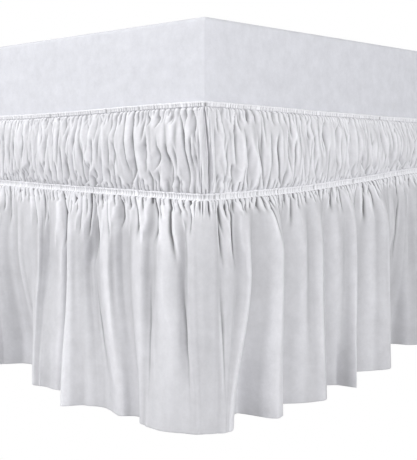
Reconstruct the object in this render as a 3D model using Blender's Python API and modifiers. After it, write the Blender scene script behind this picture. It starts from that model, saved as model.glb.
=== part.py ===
"""Gathered bed skirt fitted round a plain single bed base on four turned legs.

The skirt is a wrap-round one. An upper elastic grips the sides of the base, a
puffed and shirred band hangs from it to a lower elastic, and a full ruffle
falls from there to just above the floor. Band and ruffle are each sewn from
two lengths of cloth, and each length turns one corner of the base.

Metres, +Z up. The origin is on the floor under the middle of the base, +X
runs across the bed and -Y is its foot end. A place on the walls is a distance
along them: it starts at the corner between the foot end and the +X side and
grows along the +X side, so the foot end also has distances below zero.
"""

import math
import random

import bmesh
import bpy

# Bed base and its legs
BASE_WIDTH = 0.900
BASE_LENGTH = 1.900
BASE_UNDERSIDE = 0.250
BASE_TOP = 0.510
BASE_EDGE_RADIUS = 0.006
BASE_EDGE_STEPS = 3
LEG_INSET = 0.085
LEG_TOP_RADIUS = 0.032
LEG_SOLE_RADIUS = 0.024
LEG_SIDES = 24

# Skirt
FIT_GAP = 0.0003
SEWN_GAP = 0.0008
CLOTH_THICKNESS = 0.0015
ELASTIC_THICKNESS = 0.0024
UPPER_ELASTIC_HEIGHT = 0.0070
LOWER_ELASTIC_HEIGHT = 0.0085
CLOTH_REST = 0.0032
CLEAR_BELOW_BASE = 0.030
HEM_CLEARANCE = 0.0070
HEM_FOLLOWS_ELASTIC = 0.95
SIDE_REACH = 0.048
END_REACH = 0.070

# How the cloth turns a corner: it fans out over CORNER_RUN each side of the
# corner, and the spare run is taken up over CORNER_FADE.
CORNER_RUN = 0.030
CORNER_FADE = 0.150
CORNER_ARC_STEPS = 3

# Heights of the ruffle's rows of faces, as parts of its drop, and those of the band's
RUFFLE_ROWS = (0.0, 0.07, 0.18, 0.35, 0.56, 0.78, 1.0)
RUFFLE_MIDDLE = 0.46
BAND_ROWS = (0.0, 0.22, 0.74, 1.0)
BAND_SWELL = (0.0, 0.92, 1.0, 0.0)

# Corner marks, as distances along the walls
FRONT_CORNER = 0.0
SIDE_CORNER = BASE_LENGTH
REAR_CORNER = BASE_LENGTH + BASE_WIDTH
FAR_CORNER = 2 * BASE_LENGTH + BASE_WIDTH
PERIMETER = 2 * (BASE_LENGTH + BASE_WIDTH)
SEAM_GAP = 0.0030

# An elastic runs straight between points this far apart
ELASTIC_RUN = 0.100

# The elastics ride up and down as they go round.
# Columns: distance along, top edge of the upper elastic, middle of the lower one
ELASTIC_HEIGHTS = (
    (-0.90, 0.4056, 0.2888),
    (-0.47, 0.3969, 0.2901),
    (-0.30, 0.3985, 0.2890),
    (-0.10, 0.4043, 0.2884),
    (0.00, 0.4056, 0.2888),
    (0.09, 0.4040, 0.2890),
    (0.20, 0.4004, 0.2910),
    (0.33, 0.3976, 0.2974),
    (0.53, 0.3940, 0.3075),
    (0.95, 0.3950, 0.3030),
    (1.40, 0.3970, 0.2940),
    (1.90, 0.4056, 0.2888),
    (2.35, 0.3975, 0.2900),
    (2.80, 0.4056, 0.2888),
    (3.30, 0.3970, 0.2930),
    (3.75, 0.3950, 0.2990),
    (4.20, 0.3970, 0.2930),
    (4.70, 0.4056, 0.2888),
)
CORNER_ELASTIC_HEIGHT = 0.2888

# Folds of the ruffle near the front corner, from the foot end round to the side.
# Columns: distance along at the elastic, at half drop and at the hem, and how far
# the cloth stands off the wall at half drop and at the hem
FRONT_FOLDS = (
    (-0.510, -0.475, -0.440, 0.030, 0.045),
    (-0.430, -0.410, -0.385, 0.008, -0.016),
    (-0.390, -0.365, -0.335, 0.005, -0.012),
    (-0.354, -0.330, -0.301, 0.026, 0.042),
    (-0.318, -0.272, -0.222, 0.006, 0.016),
    (-0.273, -0.231, -0.196, 0.042, END_REACH),
    (-0.213, -0.200, -0.150, 0.008, 0.023),
    (-0.190, -0.164, -0.115, 0.026, 0.031),
    (-0.158, -0.140, -0.098, 0.008, 0.024),
    (-0.124, -0.100, -0.085, 0.030, 0.042),
    (-0.109, -0.086, -0.070, 0.018, 0.037),
    (-0.087, -0.068, -0.050, 0.030, 0.036),
    (-0.068, -0.043, -0.022, 0.010, 0.021),
    (-0.049, -0.018, -0.008, 0.030, 0.021),
    (0.000, 0.002, 0.004, 0.022, 0.019),
    (0.035, 0.025, 0.018, 0.015, 0.024),
    (0.047, 0.034, 0.027, 0.026, 0.030),
    (0.063, 0.044, 0.032, 0.016, 0.029),
    (0.080, 0.056, 0.038, 0.036, 0.030),
    (0.103, 0.088, 0.066, 0.004, -0.013),
    (0.126, 0.114, 0.104, 0.034, 0.043),
    (0.154, 0.140, 0.122, 0.008, 0.006),
    (0.179, 0.161, 0.152, 0.026, 0.024),
    (0.197, 0.178, 0.162, 0.018, 0.028),
    (0.225, 0.200, 0.184, 0.036, 0.045),
    (0.250, 0.228, 0.205, 0.008, 0.006),
    (0.270, 0.251, 0.237, 0.024, 0.026),
    (0.286, 0.262, 0.243, 0.016, 0.036),
    (0.307, 0.276, 0.254, 0.036, SIDE_REACH),
    (0.334, 0.308, 0.277, 0.008, 0.005),
    (0.385, 0.362, 0.348, 0.036, 0.046),
    (0.415, 0.402, 0.385, 0.006, -0.018),
    (0.445, 0.448, 0.458, 0.006, -0.021),
    (0.470, 0.478, 0.486, 0.032, 0.046),
)

# The other folds are worked out: a crest and a valley in turn, now and then
# with a lesser ridge in the valley.
FOLD_HALF_PITCH = (0.044, 0.064)
FOLD_DRIFT = 0.018
FOLD_CREST_MIDDLE = (0.024, 0.036)
FOLD_CREST_SHARE = (0.66, 0.97)
FOLD_VALLEY_MIDDLE = 0.007
FOLD_VALLEY_HEM = (-0.003, 0.014)
LESSER_RIDGE_CHANCE = 0.4
LESSER_RIDGE_REACH = 0.5

# Where the ruffle has its columns, as shares of the way from one fold line to the
# next, and how much of that way is the rounded back of a crest or valley
FRONT_SHARES = (0.0, 0.33, 0.67)
CORNER_SHARES = (0.0, 0.25, 0.5, 0.75)
HIDDEN_SHARES = (0.26, 0.74)
FOLD_ROUND = 0.26

# Creases of the band near the front corner.
# Columns: distance along at the upper elastic and at the lower one, and depth
# as a share of the puff
FRONT_CREASES = (
    (-0.437, -0.431, 0.6),
    (-0.389, -0.372, 0.7),
    (-0.351, -0.353, 0.5),
    (-0.330, -0.325, 0.6),
    (-0.308, -0.305, 0.9),
    (-0.265, -0.268, 1.0),
    (-0.224, -0.219, 0.9),
    (-0.197, -0.190, 0.8),
    (-0.169, -0.157, 1.0),
    (-0.145, -0.132, 0.8),
    (-0.114, -0.108, 0.7),
    (-0.094, -0.087, 0.6),
    (-0.070, -0.067, 1.0),
    (-0.049, -0.039, 1.0),
    (-0.031, -0.016, 1.0),
    (-0.005, 0.008, 1.0),
    (0.036, 0.040, 0.9),
    (0.060, 0.062, 0.9),
    (0.078, 0.085, 1.0),
    (0.108, 0.111, 0.7),
    (0.138, 0.142, 0.9),
    (0.161, 0.159, 0.6),
    (0.195, 0.187, 0.9),
    (0.220, 0.220, 0.7),
    (0.244, 0.250, 0.8),
    (0.270, 0.275, 0.5),
    (0.312, 0.312, 0.9),
    (0.342, 0.342, 0.6),
    (0.367, 0.367, 0.8),
    (0.418, 0.415, 0.9),
    (0.455, 0.449, 0.5),
    (0.491, 0.484, 0.7),
)
CREASE_PITCH = (0.034, 0.048)
CREASE_LEAN = 0.008
CREASE_DEPTH = (0.55, 1.0)
CREASE_CUT = 0.75

# Where a pucker stands proud, as shares of the way from one crease to the next
FRONT_SHOULDERS = (0.3, 0.7)
HIDDEN_SHOULDERS = (0.5,)

# Puff of the band, by distance from the nearest corner: tight at the corner,
# fullest a little way along.
# Columns: distance from the corner, how far the puff stands off
BAND_PUFF = (
    (0.00, 0.011),
    (0.10, 0.016),
    (0.28, 0.021),
    (0.95, 0.020),
)

# Finishes: base colour and roughness
COTTON = (0.66, 0.66, 0.70)
COTTON_ROUGHNESS = 0.9
ELASTIC = (0.58, 0.58, 0.62)
ELASTIC_ROUGHNESS = 0.8
BASE_COVER = (0.74, 0.74, 0.77)
BASE_COVER_ROUGHNESS = 0.85
WOOD = (0.50, 0.33, 0.19)
WOOD_ROUGHNESS = 0.5

WALLS = (
    # corner where the wall starts, its direction, its outward side, its length
    ((1, -1), (0, 1), (1, 0), BASE_LENGTH),
    ((1, 1), (-1, 0), (0, 1), BASE_WIDTH),
    ((-1, 1), (0, -1), (-1, 0), BASE_LENGTH),
    ((-1, -1), (1, 0), (0, -1), BASE_WIDTH),
)


def smooth(share):
    """Ease a share from 0 to 1."""
    share = min(1.0, max(0.0, share))
    return share * share * (3 - 2 * share)


def blend(first, second, share):
    """The value a share of the way from the first to the second."""
    return first + (second - first) * share


def through(rows, column, place):
    """Read a column of a table at a place, on a smooth curve through its rows."""
    count = len(rows)
    index = 0
    while index < count - 2 and place > rows[index + 1][0]:
        index += 1
    before = rows[max(index - 1, 0)]
    start = rows[index]
    end = rows[index + 1]
    after = rows[min(index + 2, count - 1)]
    run = end[0] - start[0]
    slope_in = (end[column] - before[column]) / (end[0] - before[0])
    slope_out = (after[column] - start[column]) / (after[0] - start[0])
    t = min(1.0, max(0.0, (place - start[0]) / run))
    return (
        (2 * t ** 3 - 3 * t ** 2 + 1) * start[column]
        + (t ** 3 - 2 * t ** 2 + t) * run * slope_in
        + (3 * t ** 2 - 2 * t ** 3) * end[column]
        + (t ** 3 - t ** 2) * run * slope_out
    )


def wall_of(along):
    """The wall that a distance falls on, the run from its start, and its length."""
    run = along % PERIMETER
    for index, wall in enumerate(WALLS):
        if run < wall[3]:
            return index, run, wall[3]
        run -= wall[3]
    return 0, 0.0, WALLS[0][3]


def corner_distance(along):
    """How far a place is from the nearest corner of the base."""
    _, run, length = wall_of(along)
    return min(run, length - run)


def plan_point(along, out):
    """Plan position of a place on the walls that stands off by out."""
    index, run, length = wall_of(along)
    (corner_x, corner_y), direction, outward, _ = WALLS[index]
    from_start = run <= length - run
    near = min(run, length - run)
    if near >= CORNER_RUN:
        spare = (CORNER_RUN - BASE_EDGE_RADIUS) * (1 - smooth((near - CORNER_RUN) / CORNER_FADE))
        run = near - spare if from_start else length - near + spare
        x = corner_x * BASE_WIDTH / 2 + direction[0] * run + outward[0] * out
        y = corner_y * BASE_LENGTH / 2 + direction[1] * run + outward[1] * out
        return x, y
    if not from_start:
        corner_x, corner_y = WALLS[(index + 1) % 4][0]
    neighbour = WALLS[(index - 1) % 4 if from_start else (index + 1) % 4]
    turn = (1 - near / CORNER_RUN) * math.pi / 4
    radius = BASE_EDGE_RADIUS + out
    x = corner_x * (BASE_WIDTH / 2 - BASE_EDGE_RADIUS)
    y = corner_y * (BASE_LENGTH / 2 - BASE_EDGE_RADIUS)
    x += radius * (outward[0] * math.cos(turn) + neighbour[2][0] * math.sin(turn))
    y += radius * (outward[1] * math.cos(turn) + neighbour[2][1] * math.sin(turn))
    return x, y


def elastic_height(along, column):
    """Height of an elastic at a distance along the walls, straight from point to point."""
    run = (along + BASE_WIDTH) % PERIMETER - BASE_WIDTH
    start = math.floor(run / ELASTIC_RUN) * ELASTIC_RUN
    share = (run - start) / ELASTIC_RUN
    heights = [through(ELASTIC_HEIGHTS, column, place) for place in (start, start + ELASTIC_RUN)]
    return blend(*heights, share)


def upper_elastic_top(along):
    """Height of the upper elastic's top edge."""
    return elastic_height(along, 1)


def lower_elastic_middle(along):
    """Height of the lower elastic's middle line."""
    return elastic_height(along, 2)


def hem_height(along):
    """Height of the ruffle's hem, which rises with the elastic above it."""
    rise = lower_elastic_middle(along) - CORNER_ELASTIC_HEIGHT
    return HEM_CLEARANCE + HEM_FOLLOWS_ELASTIC * rise


def finish(name, colour, roughness):
    """A plain Principled material."""
    material = bpy.data.materials.new(name)
    material.use_nodes = True
    shader = material.node_tree.nodes["Principled BSDF"]
    shader.inputs["Base Color"].default_value = (*colour, 1.0)
    shader.inputs["Roughness"].default_value = roughness
    shader.inputs["Metallic"].default_value = 0.0
    return material


def add_object(name, mesh, collection, material):
    """Add a mesh to the part as one named piece."""
    mesh.materials.append(material)
    piece = bpy.data.objects.new(name, mesh)
    collection.objects.link(piece)
    return piece


def thicken(piece, thickness):
    """Give an open sheet its thickness, half to each side."""
    solidify = piece.modifiers.new("Thickness", "SOLIDIFY")
    solidify.thickness = thickness
    solidify.offset = 0.0
    solidify.use_even_offset = False
    solidify.use_rim = True


def sheet_mesh(name, columns):
    """A sheet from columns of points, each column running top to bottom."""
    across = len(columns)
    down = len(columns[0])
    sheet = bmesh.new()
    bmesh.ops.create_grid(sheet, x_segments=across - 1, y_segments=down - 1, size=1.0)
    for vertex in sheet.verts:
        column = round((vertex.co.x + 1) / 2 * (across - 1))
        row = round((1 - vertex.co.y) / 2 * (down - 1))
        vertex.co = columns[column][row]
    bmesh.ops.recalc_face_normals(sheet, faces=sheet.faces)
    mesh = bpy.data.meshes.new(name)
    sheet.to_mesh(mesh)
    sheet.free()
    mesh.shade_smooth()
    return mesh


def ring_stations():
    """Distances along the walls where an elastic has a point: its runs and the corner arcs."""
    stations = [ELASTIC_RUN * step for step in range(round(PERIMETER / ELASTIC_RUN))]
    for corner in (FRONT_CORNER, SIDE_CORNER, REAR_CORNER, FAR_CORNER - PERIMETER):
        for step in range(-CORNER_ARC_STEPS, CORNER_ARC_STEPS + 1):
            stations.append(corner + CORNER_RUN * step / CORNER_ARC_STEPS)
    stations = sorted({round(station % PERIMETER, 4) for station in stations})
    return stations


def make_elastic(name, top_height, height, collection, material):
    """An elastic: one flat band closed round the base."""
    stations = ring_stations()
    ring = bmesh.new()
    bmesh.ops.create_circle(ring, segments=len(stations), radius=1.0)
    lower = list(ring.verts)
    result = bmesh.ops.extrude_edge_only(ring, edges=ring.edges[:])
    upper = [item for item in result["geom"] if isinstance(item, bmesh.types.BMVert)]
    out = FIT_GAP + ELASTIC_THICKNESS / 2
    for vertex in lower + upper:
        turn = math.atan2(vertex.co.y, vertex.co.x) % (2 * math.pi)
        along = stations[round(turn / (2 * math.pi) * len(stations)) % len(stations)]
        drop = 0.0 if vertex in upper else height
        vertex.co = (*plan_point(along, out), top_height(along) - drop)
    bmesh.ops.recalc_face_normals(ring, faces=ring.faces)
    mesh = bpy.data.meshes.new(name)
    ring.to_mesh(mesh)
    ring.free()
    thicken(add_object(name, mesh, collection, material), ELASTIC_THICKNESS)


def wall_reach(wall):
    """How far the widest fold of a wall's ruffle stands off."""
    return SIDE_REACH if wall % 2 == 0 else END_REACH


def hidden_folds(start, end, rng):
    """Worked-out folds of the ruffle between two distances along the walls."""
    folds = []
    place = start
    crest = False
    while place < end:
        reach = wall_reach(wall_of(place)[0])
        middle = place + rng.uniform(-FOLD_DRIFT, FOLD_DRIFT) / 2
        hem = middle + rng.uniform(-FOLD_DRIFT, FOLD_DRIFT) / 2
        if crest:
            out_middle = rng.uniform(*FOLD_CREST_MIDDLE)
            out_hem = reach * rng.uniform(*FOLD_CREST_SHARE)
        else:
            out_middle = FOLD_VALLEY_MIDDLE
            out_hem = rng.uniform(*FOLD_VALLEY_HEM)
        folds.append((place, middle, hem, out_middle, out_hem))
        step = rng.uniform(*FOLD_HALF_PITCH)
        if not crest and rng.random() < LESSER_RIDGE_CHANCE:
            ridge = place + step / 2
            lesser = out_hem + (reach - out_hem) * LESSER_RIDGE_REACH / 2
            folds.append((ridge, ridge, ridge, FOLD_VALLEY_MIDDLE + FOLD_VALLEY_MIDDLE, lesser))
            valley = ridge + step / 2
            folds.append((valley, valley, valley, FOLD_VALLEY_MIDDLE, out_hem))
            place = valley + step / 2
        else:
            place += step
        crest = not crest
    return folds


def widen_crest(folds, wall):
    """Let the widest of a wall's folds stand off by the wall's whole reach."""
    on_wall = [index for index, fold in enumerate(folds) if wall_of(fold[0])[0] == wall]
    widest = max(on_wall, key=lambda index: folds[index][-1])
    folds[widest] = (*folds[widest][:-1], wall_reach(wall))


def seam_fold(along):
    """The line of the ruffle at the end of a length of cloth."""
    return (along, along, along, FOLD_CREST_MIDDLE[0] / 2, FOLD_CREST_MIDDLE[0] / 2)


def fold_point(fold, drop):
    """Distance along and stand-off of a fold line, a share of the way down the ruffle."""
    top, middle, hem, out_middle, out_hem = fold
    at_top = (drop - RUFFLE_MIDDLE) * (drop - 1) / RUFFLE_MIDDLE
    at_middle = drop * (drop - 1) / (RUFFLE_MIDDLE * (RUFFLE_MIDDLE - 1))
    at_hem = drop * (drop - RUFFLE_MIDDLE) / (1 - RUFFLE_MIDDLE)
    along = top * at_top + middle * at_middle + hem * at_hem
    out = CLOTH_REST * at_top + out_middle * at_middle + out_hem * at_hem
    return along, out


def ruffle_column(first, second, share):
    """One column of the ruffle, a share of the way between two fold lines."""
    rounded = smooth((share - FOLD_ROUND) / (1 - 2 * FOLD_ROUND))
    top_along = blend(first[0], second[0], share)
    top = lower_elastic_middle(top_along) - LOWER_ELASTIC_HEIGHT / 2 - SEWN_GAP
    hem = hem_height(top_along)
    column = []
    for drop in RUFFLE_ROWS:
        first_along, first_out = fold_point(first, drop)
        second_along, second_out = fold_point(second, drop)
        along = blend(first_along, second_along, share)
        out = blend(first_out, second_out, rounded)
        height = blend(top, hem, drop)
        if height > BASE_UNDERSIDE - CLEAR_BELOW_BASE:
            out = max(out, CLOTH_REST)
        column.append((*plan_point(along, out), height))
    return column


def make_ruffle(name, folds, collection, material):
    """One length of the ruffle."""
    columns = []
    for first, second in zip(folds, folds[1:]):
        shares = HIDDEN_SHARES
        if min(corner_distance(first[0]), corner_distance(second[0])) < CORNER_RUN:
            shares = CORNER_SHARES
        if FRONT_FOLDS[0][0] <= first[0] < FRONT_FOLDS[-1][0]:
            shares = FRONT_SHARES
        for share in shares:
            columns.append(ruffle_column(first, second, share))
    columns.append(ruffle_column(folds[-2], folds[-1], 1.0))
    mesh = sheet_mesh(name, columns)
    thicken(add_object(name, mesh, collection, material), CLOTH_THICKNESS)


def hidden_creases(start, end, rng):
    """Worked-out creases of the band between two distances along the walls."""
    creases = []
    place = start
    while place < end:
        lean = rng.uniform(-CREASE_LEAN, CREASE_LEAN)
        creases.append((place, place + lean, rng.uniform(*CREASE_DEPTH)))
        place += rng.uniform(*CREASE_PITCH)
    return creases


def band_column(top_along, foot_along, depth):
    """One column of the band, cut in by a crease of some depth."""
    top = upper_elastic_top(top_along) - UPPER_ELASTIC_HEIGHT - SEWN_GAP
    foot = lower_elastic_middle(foot_along) + LOWER_ELASTIC_HEIGHT / 2 + SEWN_GAP
    column = []
    for drop, swell in zip(BAND_ROWS, BAND_SWELL):
        along = blend(top_along, foot_along, drop)
        puff = through(BAND_PUFF, 1, corner_distance(along))
        out = CLOTH_REST + (puff - CLOTH_REST) * swell * (1 - CREASE_CUT * depth)
        column.append((*plan_point(along, out), blend(top, foot, drop)))
    return column


def make_band(name, creases, collection, material):
    """One length of the shirred band: a crease, then a pucker, in turn."""
    columns = []
    for first, second in zip(creases, creases[1:]):
        columns.append(band_column(*first))
        front = FRONT_CREASES[0][0] <= first[0] < FRONT_CREASES[-1][0]
        for share in FRONT_SHOULDERS if front else HIDDEN_SHOULDERS:
            top_along = blend(first[0], second[0], share)
            foot_along = blend(first[1], second[1], share)
            columns.append(band_column(top_along, foot_along, 0.0))
    columns.append(band_column(*creases[-1]))
    mesh = sheet_mesh(name, columns)
    thicken(add_object(name, mesh, collection, material), CLOTH_THICKNESS)


def make_skirt(collection):
    """The skirt: two elastics, two lengths of band and two of ruffle."""
    cotton = finish("skirt cotton", COTTON, COTTON_ROUGHNESS)
    elastic = finish("skirt elastic", ELASTIC, ELASTIC_ROUGHNESS)
    make_elastic("elastic_upper", upper_elastic_top, UPPER_ELASTIC_HEIGHT, collection, elastic)
    make_elastic(
        "elastic_lower",
        lambda along: lower_elastic_middle(along) + LOWER_ELASTIC_HEIGHT / 2,
        LOWER_ELASTIC_HEIGHT,
        collection,
        elastic,
    )
    rng = random.Random(7)
    near_end = FAR_CORNER - PERIMETER + SEAM_GAP / 2
    far_end = SIDE_CORNER - SEAM_GAP / 2
    rear_start = SIDE_CORNER + SEAM_GAP / 2
    rear_end = FAR_CORNER - SEAM_GAP / 2
    space = FOLD_HALF_PITCH[0]
    front = [seam_fold(near_end)]
    front += hidden_folds(near_end + space, FRONT_FOLDS[0][0] - space, rng)
    front += FRONT_FOLDS
    front += hidden_folds(FRONT_FOLDS[-1][2] + space, far_end - space, rng)
    front.append(seam_fold(far_end))
    make_ruffle("ruffle_front", front, collection, cotton)
    rear = [seam_fold(rear_start)]
    rear += hidden_folds(rear_start + space, rear_end - space, rng)
    rear.append(seam_fold(rear_end))
    for wall in (1, 2):
        widen_crest(rear, wall)
    make_ruffle("ruffle_rear", rear, collection, cotton)
    pitch = CREASE_PITCH[0]
    front = hidden_creases(near_end, FRONT_CREASES[0][0] - pitch, rng)
    front += FRONT_CREASES
    front += hidden_creases(FRONT_CREASES[-1][0] + pitch, far_end - pitch, rng)
    front[0] = (near_end, near_end, 1.0)
    front.append((far_end, far_end, 1.0))
    make_band("band_front", front, collection, cotton)
    rear = hidden_creases(rear_start, rear_end - pitch, rng)
    rear[0] = (rear_start, rear_start, 1.0)
    rear.append((rear_end, rear_end, 1.0))
    make_band("band_rear", rear, collection, cotton)


def make_base(collection):
    """The bed base: one plain covered box with soft edges."""
    block = bmesh.new()
    bmesh.ops.create_cube(block, size=1.0)
    bmesh.ops.scale(block, vec=(BASE_WIDTH, BASE_LENGTH, BASE_TOP - BASE_UNDERSIDE), verts=block.verts)
    mesh = bpy.data.meshes.new("bed_base")
    block.to_mesh(mesh)
    block.free()
    cover = finish("base cover", BASE_COVER, BASE_COVER_ROUGHNESS)
    base = add_object("bed_base", mesh, collection, cover)
    base.location.z = (BASE_TOP + BASE_UNDERSIDE) / 2
    edges = base.modifiers.new("Soft edges", "BEVEL")
    edges.width = BASE_EDGE_RADIUS
    edges.segments = BASE_EDGE_STEPS
    edges.limit_method = "ANGLE"
    mesh.shade_smooth()


def make_legs(collection):
    """Four turned legs, one near each corner of the base."""
    wood = finish("leg wood", WOOD, WOOD_ROUGHNESS)
    height = BASE_UNDERSIDE - FIT_GAP
    names = {(-1, -1): "front_left", (1, -1): "front_right", (-1, 1): "rear_left", (1, 1): "rear_right"}
    for (side, end), place in names.items():
        turned = bmesh.new()
        bmesh.ops.create_cone(
            turned,
            cap_ends=True,
            segments=LEG_SIDES,
            radius1=LEG_SOLE_RADIUS,
            radius2=LEG_TOP_RADIUS,
            depth=height,
        )
        mesh = bpy.data.meshes.new("leg_" + place)
        turned.to_mesh(mesh)
        turned.free()
        mesh.shade_smooth()
        mesh.set_sharp_from_angle(angle=math.radians(40))
        leg = add_object("leg_" + place, mesh, collection, wood)
        leg.location = (
            side * (BASE_WIDTH / 2 - LEG_INSET),
            end * (BASE_LENGTH / 2 - LEG_INSET),
            height / 2,
        )


def main():
    """Clear the scene and build the part."""
    for item in list(bpy.data.objects):
        bpy.data.objects.remove(item, do_unlink=True)
    collection = bpy.data.collections.new("bed skirt")
    bpy.context.scene.collection.children.link(collection)
    make_base(collection)
    make_legs(collection)
    make_skirt(collection)


main()
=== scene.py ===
"""Looks of the gathered bed skirt and its bed base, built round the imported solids.

Metres, +Z up. The foot end of the bed is at -Y. A place on the walls is a
distance along them, from the corner between the foot end and the +X side: it
grows along the +X side and is below zero along the foot end.
"""

import math
import random

import bmesh
import bpy
import numpy as np
from mathutils import Matrix, Vector


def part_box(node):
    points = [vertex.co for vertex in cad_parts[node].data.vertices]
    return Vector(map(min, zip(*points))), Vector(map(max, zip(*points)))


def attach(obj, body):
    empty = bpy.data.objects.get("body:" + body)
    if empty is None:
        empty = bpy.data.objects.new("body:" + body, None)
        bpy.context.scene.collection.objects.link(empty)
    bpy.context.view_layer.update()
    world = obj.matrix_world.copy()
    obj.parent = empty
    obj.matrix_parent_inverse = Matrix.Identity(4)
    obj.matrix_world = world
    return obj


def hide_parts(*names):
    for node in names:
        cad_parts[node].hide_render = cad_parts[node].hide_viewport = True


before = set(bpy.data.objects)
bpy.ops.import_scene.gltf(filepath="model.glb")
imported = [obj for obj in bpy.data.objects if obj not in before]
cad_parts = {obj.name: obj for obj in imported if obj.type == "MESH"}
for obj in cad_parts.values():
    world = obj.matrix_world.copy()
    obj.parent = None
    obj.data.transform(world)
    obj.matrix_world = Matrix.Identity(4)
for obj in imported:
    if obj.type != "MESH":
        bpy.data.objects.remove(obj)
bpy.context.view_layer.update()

# The base, as the solids have it
BASE_LOW, BASE_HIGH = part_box("bed_base")
BASE_WIDTH = BASE_HIGH.x - BASE_LOW.x
BASE_LENGTH = BASE_HIGH.y - BASE_LOW.y
BASE_UNDERSIDE = BASE_LOW.z
BASE_EDGE_RADIUS = 0.006

# The skirt, as the solids have it
UPPER_ELASTIC_HEIGHT = 0.0070
LOWER_ELASTIC_HEIGHT = 0.0085
CLEAR_BELOW_BASE = 0.030
HEM_CLEARANCE = 0.0070
HEM_FOLLOWS_ELASTIC = 0.95
SIDE_REACH = 0.048
END_REACH = 0.070
CORNER_RUN = 0.030
CORNER_FADE = 0.150
SIDE_CORNER = BASE_LENGTH
FAR_CORNER = 2 * BASE_LENGTH + BASE_WIDTH
PERIMETER = 2 * (BASE_LENGTH + BASE_WIDTH)
SEAM_GAP = 0.0030
# Ends of the two lengths of cloth, at the seams
FRONT_RUN = (FAR_CORNER - PERIMETER + SEAM_GAP / 2, SIDE_CORNER - SEAM_GAP / 2)
REAR_RUN = (SIDE_CORNER + SEAM_GAP / 2, FAR_CORNER - SEAM_GAP / 2)

# Columns: distance along, top edge of the upper elastic, middle of the lower one
ELASTIC_HEIGHTS = np.array((
    (-0.90, 0.4056, 0.2888),
    (-0.47, 0.3969, 0.2901),
    (-0.30, 0.3985, 0.2890),
    (-0.10, 0.4043, 0.2884),
    (0.00, 0.4056, 0.2888),
    (0.09, 0.4040, 0.2890),
    (0.20, 0.4004, 0.2910),
    (0.33, 0.3976, 0.2974),
    (0.53, 0.3940, 0.3075),
    (0.95, 0.3950, 0.3030),
    (1.40, 0.3970, 0.2940),
    (1.90, 0.4056, 0.2888),
    (2.35, 0.3975, 0.2900),
    (2.80, 0.4056, 0.2888),
    (3.30, 0.3970, 0.2930),
    (3.75, 0.3950, 0.2990),
    (4.20, 0.3970, 0.2930),
    (4.70, 0.4056, 0.2888),
))
CORNER_ELASTIC_HEIGHT = 0.2888

# Folds of the ruffle near the front corner.
# Columns: distance along at the elastic, at half drop and at the hem, and how far
# the cloth stands off the wall at half drop and at the hem
FRONT_FOLDS = (
    (-0.510, -0.475, -0.440, 0.030, 0.045),
    (-0.445, -0.434, -0.418, 0.026, 0.018),
    (-0.408, -0.396, -0.390, 0.013, -0.011),
    (-0.383, -0.368, -0.340, 0.019, -0.001),
    (-0.358, -0.326, -0.306, 0.0222, 0.0425),
    (-0.351, -0.315, -0.297, 0.023, 0.0465),
    (-0.309, -0.303, -0.285, 0.013, 0.041),
    (-0.287, -0.262, -0.256, 0.023, 0.0345),
    (-0.269, -0.249, -0.222, 0.010, 0.016),
    (-0.2624, -0.236, -0.203, 0.0305, 0.065),
    (-0.260, -0.231, -0.196, 0.034, END_REACH),
    (-0.235, -0.217, -0.176, 0.025, 0.048),
    (-0.194, -0.197, -0.145, 0.010, 0.034),
    (-0.179, -0.159, -0.122, 0.023, 0.0395),
    (-0.147, -0.144, -0.104, 0.011, 0.027),
    (-0.121, -0.101, -0.087, 0.029, 0.042),
    (-0.102, -0.090, -0.074, 0.021, 0.0406),
    (-0.088, -0.070, -0.056, 0.029, 0.0392),
    (-0.074, -0.049, -0.041, 0.024, 0.0325),
    (-0.063, -0.040, -0.031, 0.017, 0.0262),
    (-0.052, -0.028, -0.019, 0.0255, 0.0222),
    (-0.036, -0.019, -0.010, 0.023, 0.0194),
    (0.000, -0.001, 0.003, 0.0225, 0.0186),
    (0.018, 0.013, 0.013, 0.0218, 0.0194),
    (0.035, 0.030, 0.021, 0.017, 0.0201),
    (0.047, 0.041, 0.028, 0.0215, 0.0236),
    (0.060, 0.057, 0.033, 0.018, 0.0256),
    (0.085, 0.070, 0.039, 0.0285, 0.0292),
    (0.098, 0.086, 0.0845, 0.016, -0.009),
    (0.106, 0.107, 0.093, 0.0215, 0.019),
    (0.110, 0.114, 0.0965, 0.0265, 0.0335),
    (0.116, 0.122, 0.1035, 0.031, 0.043),
    (0.123, 0.127, 0.111, 0.0285, 0.0415),
    (0.149, 0.139, 0.129, 0.012, 0.006),
    (0.173, 0.169, 0.158, 0.024, 0.031),
    (0.192, 0.187, 0.171, 0.021, 0.040),
    (0.203, 0.203, 0.185, 0.030, 0.0465),
    (0.217, 0.211, 0.192, 0.0265, 0.043),
    (0.244, 0.225, 0.208, 0.012, 0.006),
    (0.262, 0.251, 0.2415, 0.023, 0.024),
    (0.277, 0.272, 0.2445, 0.020, 0.040),
    (0.290, 0.286, 0.248, 0.029, 0.054),
    (0.300, 0.292, 0.254, 0.026, 0.052),
    (0.322, 0.305, 0.278, 0.012, 0.005),
    (0.344, 0.347, 0.325, 0.022, 0.032),
    (0.367, 0.372, 0.347, 0.031, 0.0485),
    (0.381, 0.380, 0.356, 0.028, 0.045),
    (0.420, 0.402, 0.388, 0.016, -0.024),
    (0.445, 0.451, 0.458, 0.017, -0.015),
    (0.464, 0.466, 0.470, 0.012, 0.010),
    (0.500, 0.507, 0.512, 0.032, 0.046),
)

# The worked-out folds, drawn as the solids draw them
FOLD_HALF_PITCH = (0.044, 0.064)
FOLD_DRIFT = 0.018
FOLD_CREST_MIDDLE = (0.024, 0.036)
FOLD_CREST_SHARE = (0.66, 0.97)
FOLD_VALLEY_MIDDLE = 0.007
FOLD_VALLEY_HEM = (-0.003, 0.014)
LESSER_RIDGE_CHANCE = 0.4
LESSER_RIDGE_REACH = 0.5

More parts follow.
